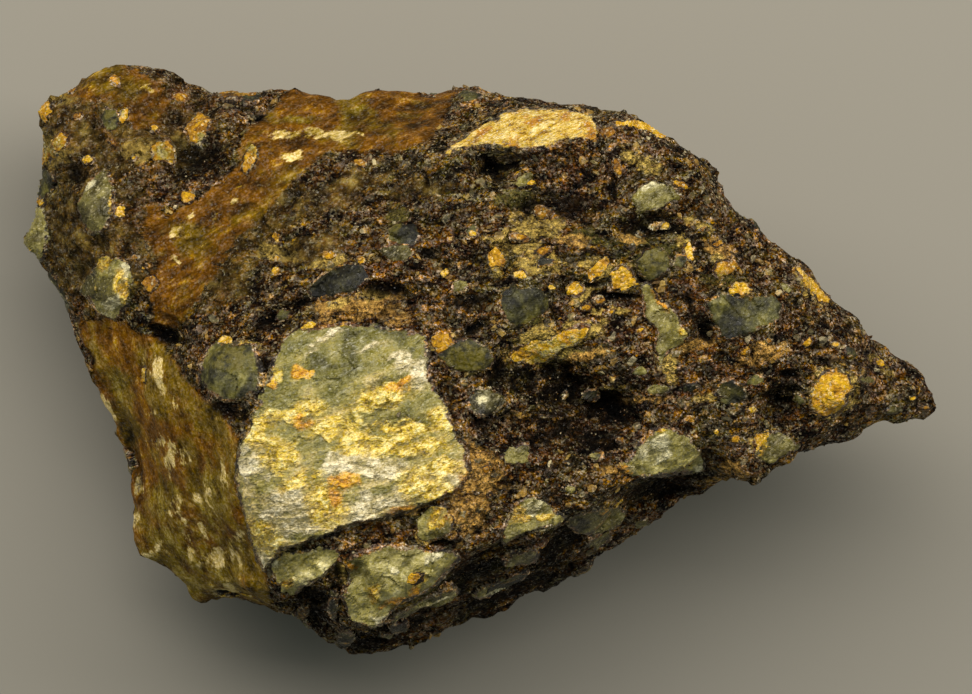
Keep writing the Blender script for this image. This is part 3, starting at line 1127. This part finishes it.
def ironCement():
    # Sandstone cement, broken open: fine sand in a dark film of iron oxide, with patches of ochre, rust
    # and green clay, and here and there a clean grain that glints. The film is rough and holds the light,
    # so it reflects less than its IOR would give. The stained skin of an old crack is satin.
    material, tree, shader, place = newMaterial("iron_stained_cement", {"IOR": 1.52})
    gritty, coarse, chances, mottle, shade = cementStuff(tree, place)
    for kind, dark, bright in film["stains"]:
        iron = put(tree, "ShaderNodeMix", {"data_type": "RGBA", 0: shade, 6: dark, 7: bright}, 2)
        tinted = put(tree, "ShaderNodeMix", {"data_type": "RGBA", 0: 0.75, 6: gritty, 7: iron}, 2)
        cover = stained(tree, kind, mottle, 0.3, 4.0)
        gritty = put(tree, "ShaderNodeMix", {"data_type": "RGBA", 0: cover, 6: gritty, 7: tinted}, 2)
    dried = clouds(tree, place, 1.8, 3.0, 0.55, 13)
    mud = put(tree, "ShaderNodeValToRGB", {0: dried, "stops": skinFinish["mud"]})
    muddy = summed(tree, ((0.72, stained(tree, "mud", mottle, 0.4, 2.0)),))
    gritty = put(tree, "ShaderNodeMix", {"data_type": "RGBA", 0: muddy, 6: gritty, 7: mud}, 2)
    coarse = put(tree, "ShaderNodeMix", {"data_type": "FLOAT", 0: muddy, 2: coarse, 3: dried})

    # the smooth skin, streaked along the crack that it lined
    facet = put(tree, "ShaderNodeAttribute", {"attribute_name": "facet"}, "Fac")
    upper, lower = (
        clouds(tree, put(tree, "ShaderNodeMapping", {"Vector": place, **layered(*way)}), 3.0, 6.0, 0.7)
        for way in skinFinish["streaks"])
    streak = put(tree, "ShaderNodeMix", {"data_type": "FLOAT", 0: facet, 2: upper, 3: lower})
    worn = summed(tree, ((0.75, streak), (0.4, mottle), (skinFinish["steep"], facet)), -0.07)
    brown = put(tree, "ShaderNodeValToRGB", {0: worn, "stops": skinFinish["brown"]})
    olive = put(tree, "ShaderNodeValToRGB", {0: worn, "stops": skinFinish["olive"]})
    damp = summed(tree, ((1.0, clouds(tree, place, 5.0, 4.0, 0.6)), (0.07, facet)))
    blotch = put(tree, "ShaderNodeMapRange", {0: damp, 1: 0.53, 2: 0.65, 4: 0.7})
    skin = put(tree, "ShaderNodeMix", {"data_type": "RGBA", 0: blotch, 6: brown, 7: olive}, 2)
    fibre = put(tree, "ShaderNodeMapRange", {0: streak, 1: 0.60, 2: 0.70, 4: 0.6})
    skin = put(tree, "ShaderNodeMix", {"data_type": "RGBA", 0: fibre, 6: skin, 7: "#c4a04c"}, 2)
    cream = put(tree, "ShaderNodeValToRGB", {0: worn, "stops": skinFinish["cream"]})
    for kind, soft, broken, over in (("olive", 0.4, 3.0, olive), ("cream", 0.25, 5.0, cream)):
        cover = stained(tree, kind, streak, soft, broken)
        skin = put(tree, "ShaderNodeMix", {"data_type": "RGBA", 0: cover, 6: skin, 7: over}, 2)
    skin = grained(tree, skin, chances, (0.7, 1.3), "#e2c98c", 0.1)
    cover = put(tree, "ShaderNodeAttribute", {"attribute_name": "skin"}, "Fac")
    skinEdge = put(tree, "ShaderNodeMapRange",
                   {0: summed(tree, ((1.0, cover), (2.6, mottle)), -1.3), 1: 0.3, 2: 0.7})
    colour = put(tree, "ShaderNodeMix", {"data_type": "RGBA", 0: skinEdge, 6: gritty, 7: skin}, 2)

    # dirt lies in the cracks and hollows
    dirt = put(tree, "ShaderNodeMix", {"data_type": "RGBA", 0: 0.93, 6: colour, 7: "#040200"}, 2)
    colour = put(tree, "ShaderNodeMix",
                 {"data_type": "RGBA", 0: stained(tree, "dark", mottle, 0.35), 6: colour, 7: dirt}, 2)
    for name, deep, least in (("hollow", 0.3, 0.15), ("recess", 1.2, 0.2)):
        sunk = put(tree, "ShaderNodeAttribute", {"attribute_name": name}, "Fac")
        dim = put(tree, "ShaderNodeMapRange", {0: sunk, 2: deep, 3: 1.0, 4: least})
        colour = put(tree, "ShaderNodeMix",
                     {"data_type": "RGBA", "blend_type": "MULTIPLY", 0: 1.0, 6: colour, 7: dim}, 2)

    glint = put(tree, "ShaderNodeMapRange", {0: chances[2], 1: 0.86, 2: 0.94, 3: 0.05, 4: 0.6})
    polish = put(tree, "ShaderNodeMapRange", {0: glint, 1: 0.05, 2: 0.6, 3: 0.7, 4: 0.2})
    gloss = put(tree, "ShaderNodeMix", {"data_type": "FLOAT", 0: skinEdge, 2: polish, 3: 0.5})
    tree.links.new(glint, shader.inputs["Specular IOR Level"])
    tree.links.new(gloss, shader.inputs["Roughness"])
    smooth = summed(tree, ((1.2, streak), (0.6, mottle)))
    height = put(tree, "ShaderNodeMix", {"data_type": "FLOAT", 0: skinEdge, 2: coarse, 3: smooth})
    surfaced(tree, shader, colour, height, 0.36)
    return material


def veinQuartz(name, look):
    # Vein quartz, broken: milky and waxy, in thin layers that part in small steps. Iron crusts colour it
    # yellow and orange, and single crystal faces catch the light.
    material, tree, shader, place = newMaterial(name, {"IOR": 1.544, "Specular IOR Level": 0.4})
    lean = put(tree, "ShaderNodeMapping", {"Vector": place, **layered(look["lean"], look["stretch"])})
    milk = clouds(tree, lean, look["cloud"], 6.0, 0.58, 0, 0.6)
    crust = clouds(tree, lean, look["crust"], 5.0, 0.62, 7, 0.5)
    pores = clouds(tree, lean, 0.5, 3.0, 0.75, 8)
    chances, faces = brokenGrains(tree, lean, 0.2)
    _, chips = brokenGrains(tree, lean, 0.9)
    own = put(tree, "ShaderNodeAttribute", {"attribute_name": "tone"}, "Fac")
    lower, upper = (end * mm for end in look["ends"])
    along = put(tree, "ShaderNodeSeparateXYZ", {0: place}, 1)
    clearer = put(tree, "ShaderNodeMapRange",
                  {0: along, 1: lower, 2: upper, 3: look["milky"], 4: look["clear"]})
    level = summed(tree, ((1.0, milk), (look["toneShare"], own), (0.15, pores), (1.0, clearer)),
                   -0.075 - 0.5 * look["toneShare"])
    colour = put(tree, "ShaderNodeValToRGB", {0: level, "stops": look["tones"]})
    combed = put(tree, "ShaderNodeMapping", {"Vector": place, **layered(look["lean"] + 8, 4.0)})
    frost = put(tree, "ShaderNodeMapRange",
                {0: clouds(tree, combed, 2.0, 5.0, 0.72, 12), 1: 0.55, 2: 0.72, 4: look["frost"]})
    colour = put(tree, "ShaderNodeMix", {"data_type": "RGBA", 0: frost, 6: colour, 7: look["pale"]}, 2)
    depth = summed(tree, ((0.7, crust), (0.5, pores)), -0.1)
    crusted = 0.0
    for kind, stops, strength in look["stains"]:
        tone = put(tree, "ShaderNodeValToRGB", {0: depth, "stops": stops})
        for pattern, soft, share in ((milk, 0.5, strength), (crust, 0.2, 0.85)):
            spread = summed(tree, ((share, stained(tree, kind, pattern, soft, 4.5)),))
            colour = put(tree, "ShaderNodeMix", {"data_type": "RGBA", 0: spread, 6: colour, 7: tone}, 2)
        crusted = put(tree, "ShaderNodeMath", {"operation": "MAXIMUM", 0: crusted, 1: spread})
    grime = put(tree, "ShaderNodeMapRange", {0: pores, 1: 0.28, 2: 0.46, 3: look["grime"], 4: 1.0})
    colour = put(tree, "ShaderNodeMix",
                 {"data_type": "RGBA", "blend_type": "MULTIPLY", 0: crusted, 6: colour, 7: grime}, 2)
    colour = grained(tree, colour, chances, look["shades"], look["pale"], look["clean"])
    colour = cementRim(tree, place, colour)
    polish = put(tree, "ShaderNodeMapRange", {0: chances[2], 1: 0.8, 3: 0.5, 4: 0.15})
    tree.links.new(polish, shader.inputs["Roughness"])
    rough = put(tree, "ShaderNodeMath",
                {"operation": "MULTIPLY", 0: crusted, 1: summed(tree, ((0.6, pores), (0.5, crust)))})
    height = summed(tree, ((0.5, crust), (0.3, pores), (0.3, faces), (0.8, chips), (1.0, rough)))
    surfaced(tree, shader, colour, height, 0.26)
    return material


blockFinish = {
    "lean": 17, "stretch": 1.5, "cloud": 3.8, "crust": 2.0, "toneShare": 0.0,
    "ends": (-16, 2), "milky": 0.10, "clear": -0.12,    # mm along Y, and the shift of the tones there
    "grime": 0.3, "shades": (0.78, 1.22), "clean": 0.22, "frost": 0.28,
    "tones": [(0.24, "#38350f"), (0.38, "#716c38"), (0.52, "#9b9054"), (0.64, "#c8b47a"),
              (0.80, "#f8e8ba")],
    "stains": [
        ("olive", [(0.38, "#3a330a"), (0.60, "#7c7436")], 0.75),
        ("white", [(0.36, "#8c8258"), (0.47, "#cbbb8c"), (0.60, "#fdf0ca")], 0.7),
        ("yellow", [(0.36, "#5c4c12"), (0.44, "#b4912e"), (0.53, "#efd068"), (0.63, "#fff2ac")], 0.65),
        ("orange", [(0.36, "#7a4a08"), (0.47, "#cf8a24"), (0.60, "#f8c860")], 0.7),
    ],
    "pale": "#fffbe0",
}
quartzFinish = {
    "lean": 24, "stretch": 1.3, "cloud": 2.2, "crust": 1.4, "toneShare": 0.42,
    "ends": (-15, 3), "milky": 0.0, "clear": 0.0,
    "grime": 0.4, "shades": (0.8, 1.2), "clean": 0.35, "frost": 0.25,
    "tones": [(0.24, "#221e08"), (0.40, "#49421a"), (0.54, "#726a36"), (0.70, "#a1975a"),
              (0.92, "#e6dba4")],
    "stains": [
        ("olive", [(0.38, "#2f2a08"), (0.60, "#69602a")], 0.6),
        ("white", [(0.38, "#968e62"), (0.60, "#f0e6ba")], 0.75),
        ("yellow", [(0.38, "#7a5c14"), (0.50, "#c49a38"), (0.62, "#f8dc78")], 0.65),
        ("orange", [(0.38, "#6a4208"), (0.60, "#dc9c34")], 0.6),
    ],
    "pale": "#efe2b2",
}


def greyChert():
    # Chert, broken: so fine in grain that it breaks smooth and waxy. It is grey-green and mottled, with
    # a dust of bright specks.
    material, tree, shader, place = newMaterial("grey_chert", {"IOR": 1.535, "Specular IOR Level": 0.3})
    milk = clouds(tree, place, 2.4, 5.0, 0.55, 0, 0.4)
    flecks = clouds(tree, place, 0.7, 4.0, 0.7, 9)
    chances, faces = brokenGrains(tree, place, 0.22)
    _, chips = brokenGrains(tree, place, 1.1)
    own = put(tree, "ShaderNodeAttribute", {"attribute_name": "tone"}, "Fac")
    level = summed(tree, ((1.5, milk), (0.55, own), (0.6, flecks)), -0.85)
    grey = [(0.15, "#050501"), (0.33, "#171606"), (0.50, "#312f14"), (0.66, "#54512a"), (0.85, "#857d48")]
    colour = put(tree, "ShaderNodeValToRGB", {0: level, "stops": grey})
    green = put(tree, "ShaderNodeValToRGB", {0: level, "stops": [(0.3, "#2b280a"), (0.75, "#8b8342")]})
    mottle = clouds(tree, place, 2.0, 3.0, 0.6, 10)
    tint = put(tree, "ShaderNodeMapRange", {0: mottle, 1: 0.5, 2: 0.62, 4: 0.6})
    colour = put(tree, "ShaderNodeMix", {"data_type": "RGBA", 0: tint, 6: colour, 7: green}, 2)
    for kind, hexColour in (("olive", "#5c5420"), ("orange", "#8a6020"), ("white", "#b4ae8a")):
        spread = stained(tree, kind, flecks, 0.4, 4.0)
        colour = put(tree, "ShaderNodeMix", {"data_type": "RGBA", 0: spread, 6: colour, 7: hexColour}, 2)
    colour = grained(tree, colour, chances, (0.72, 1.28), "#bdb892", 0.1)
    colour = cementRim(tree, place, colour)
    polish = put(tree, "ShaderNodeMapRange", {0: chances[2], 1: 0.8, 3: 0.6, 4: 0.2})
    tree.links.new(polish, shader.inputs["Roughness"])
    height = summed(tree, ((0.6, flecks), (0.25, faces), (0.7, chips)))
    surfaced(tree, shader, colour, height, 0.2)
    return material


def ochreEarth():
    # Ochre, iron-stained clay and feldspar gone soft: earthy and matt, with small dark pores.
    material, tree, shader, place = newMaterial(
        "ochre_clasts", {"IOR": 1.5, "Roughness": 0.8, "Specular IOR Level": 0.3})
    crumbly = clouds(tree, place, 1.1, 4.0, 0.7)
    cells = clouds(tree, place, 0.5, 3.0, 0.7, 7)
    chances, faces = brokenGrains(tree, place, 0.2)
    own = put(tree, "ShaderNodeAttribute", {"attribute_name": "tone"}, "Fac")
    level = summed(tree, ((1.0, crumbly), (0.6, own)), -0.3)
    earth = [(0.15, "#54320a"), (0.34, "#8e6014"), (0.48, "#bc8c26"), (0.62, "#d9b04a"), (0.9, "#efd592")]
    colour = put(tree, "ShaderNodeValToRGB", {0: level, "stops": earth})
    altered = put(tree, "ShaderNodeValToRGB", {0: level, "stops": [(0.3, "#5e5426"), (0.6, "#a89a5e")]})
    for kind, soft, over in (("orange", 0.3, "#a06c1c"), ("olive", 0.35, altered)):
        cover = stained(tree, kind, crumbly, soft)
        colour = put(tree, "ShaderNodeMix", {"data_type": "RGBA", 0: cover, 6: colour, 7: over}, 2)
    pores = put(tree, "ShaderNodeMapRange", {0: cells, 1: 0.32, 2: 0.46, 3: 0.25, 4: 1.0})
    colour = put(tree, "ShaderNodeMix",
                 {"data_type": "RGBA", "blend_type": "MULTIPLY", 0: 1.0, 6: colour, 7: pores}, 2)
    colour = grained(tree, colour, chances, (0.68, 1.25), "#f6e8be", 0.5)
    colour = cementRim(tree, place, colour)
    height = summed(tree, ((1.0, crumbly), (1.0, cells), (0.3, faces)))
    surfaced(tree, shader, colour, height, 0.26)
    return material


def creamMica():
    # A sheared clast of feldspar and mica: pale silky fibres with rusty lines between them.
    material, tree, shader, place = newMaterial("cream_clast", {"IOR": 1.55, "Specular IOR Level": 0.4})
    lean = put(tree, "ShaderNodeMapping", {"Vector": place, **layered(20, 2.8)})
    fibres = clouds(tree, lean, 1.6, 5.0, 0.72, 0, 0.4)
    flecks = clouds(tree, place, 1.2, 4.0, 0.66, 7)
    chances, faces = brokenGrains(tree, lean, 0.22)
    level = summed(tree, ((0.9, fibres), (0.45, flecks)), -0.175)
    silk = [(0.30, "#4a2c06"), (0.39, "#9a7220"), (0.47, "#d2ac4c"), (0.57, "#ebcf80"), (0.73, "#fdeebc")]
    colour = put(tree, "ShaderNodeValToRGB", {0: level, "stops": silk})
    rust = put(tree, "ShaderNodeValToRGB", {0: flecks, "stops": [(0.4, "#a56a12"), (0.65, "#dca73c")]})
    spots = put(tree, "ShaderNodeMapRange", {0: clouds(tree, place, 2.4, 3.0, 0.6, 8), 1: 0.53, 2: 0.6})
    colour = put(tree, "ShaderNodeMix", {"data_type": "RGBA", 0: spots, 6: colour, 7: rust}, 2)
    colour = grained(tree, colour, chances, (0.72, 1.2), "#fffbe6", 0.5)
    colour = cementRim(tree, place, colour)
    polish = put(tree, "ShaderNodeMapRange", {0: chances[2], 1: 0.7, 3: 0.55, 4: 0.3})
    tree.links.new(polish, shader.inputs["Roughness"])
    height = summed(tree, ((1.3, fibres), (0.6, flecks), (0.3, faces)))
    surfaced(tree, shader, colour, height, 0.3)
    return material


def looseGrains(name, tones, roughness):
    # Broken grains and crumbs: most wear the same film as the cement round them, some are clean.
    material, tree, shader, place = newMaterial(
        name, {"IOR": 1.54, "Roughness": roughness, "Specular IOR Level": 0.3})
    tone = put(tree, "ShaderNodeAttribute", {"attribute_name": "tone"}, "Fac")
    own = put(tree, "ShaderNodeValToRGB", {0: tone, "stops": tones})
    own.node.color_ramp.interpolation = "CONSTANT"
    coat, height, _, mottle, _ = cementStuff(tree, place)
    dirt = put(tree, "ShaderNodeMapRange", {0: mottle, 1: 0.4, 2: 0.62, 3: 0.9, 4: 0.35})
    colour = put(tree, "ShaderNodeMix", {"data_type": "RGBA", 0: dirt, 6: own, 7: coat}, 2)
    surfaced(tree, shader, colour, height, 0.08)
    return material


sandTones = [(0.0, "#180d02"), (0.34, "#35230a"), (0.64, "#5e4518"), (0.88, "#8e7236"),
             (0.97, "#cbb588")]
crumbTones = [(0.0, "#a8832e"), (0.16, "#5e4516"), (0.34, "#c9a54c"), (0.46, "#55502a"),
              (0.64, "#33311a"), (0.78, "#8f8350"), (0.86, "#6f6a48"), (0.94, "#d6c898")]

for piece, material in (
        (cement, ironCement()),
        (block, veinQuartz("vein_quartz_block", blockFinish)),
        (quartz, veinQuartz("vein_quartz_clasts", quartzFinish)),
        (chert, greyChert()),
        (ochre, ochreEarth()),
        (cream, creamMica()),
        (sand, looseGrains("quartz_sand", sandTones, 0.45)),
        (crumbs, looseGrains("clast_crumbs", crumbTones, 0.7))):
    piece.data.materials.clear()
    piece.data.materials.append(material)
print("materials made")


# floor, lights and camera

stageLook = {
    "floorSide": 8000.0,                  # mm
    "floorColour": "#88847a",
    "keyPlace": (25, 170, 298),          # mm, the light's middle
    "keySize": (1100, 170),               # mm, a long low bank
    "keyPower": 3.55,                      # W
    "keyColour": (1.0, 0.945, 0.87),      # linear, a warm lamp
    "skyColour": (0.88, 1.0, 0.94),       # linear, the pale lid over the stone
    "sky": 0.22,
}


def stageAndCamera():
    bm = bmesh.new()
    bmesh.ops.create_grid(bm, x_segments=1, y_segments=1, size=stageLook["floorSide"] / 2 * mm)
    bmesh.ops.translate(bm, vec=(0, 0, -0.02 * mm), verts=bm.verts)
    mesh = bpy.data.meshes.new("floor")
    bm.to_mesh(mesh)
    bm.free()
    floor = bpy.data.objects.new("floor", mesh)
    paper, _, shader, _ = newMaterial("grey_card", {"Roughness": 0.9})
    shader.inputs["Base Color"].default_value = toLinear(stageLook["floorColour"])
    mesh.materials.append(paper)

    key = bpy.data.lights.new("key", "AREA")
    key.shape = "RECTANGLE"
    key.size, key.size_y = (side * mm for side in stageLook["keySize"])
    key.energy = stageLook["keyPower"]
    key.color = stageLook["keyColour"]
    lamp = bpy.data.objects.new("key", key)
    lamp.location = Vector(stageLook["keyPlace"]) * mm
    lamp.rotation_euler = (Vector((0, 0, 20 * mm)) - lamp.location).to_track_quat("-Z", "Y").to_euler()
    lamp.visible_camera = False

    lens = bpy.data.cameras.new("camera")
    lens.lens, lens.sensor_width = view["lens"], view["sensor"]
    lens.clip_start, lens.clip_end = view["clip"]
    camera = bpy.data.objects.new("camera", lens)
    camera.location = eye * mm
    for part in (floor, lamp, camera):
        bpy.context.scene.collection.objects.link(part)
    bpy.context.scene.camera = camera

    world = bpy.data.worlds.new("studio")
    world.use_nodes = True
    world.node_tree.nodes["Background"].inputs["Color"].default_value = (*stageLook["skyColour"], 1)
    world.node_tree.nodes["Background"].inputs["Strength"].default_value = stageLook["sky"]
    bpy.context.scene.world = world
    bpy.context.scene.view_settings.view_transform = "Standard"


stageAndCamera()
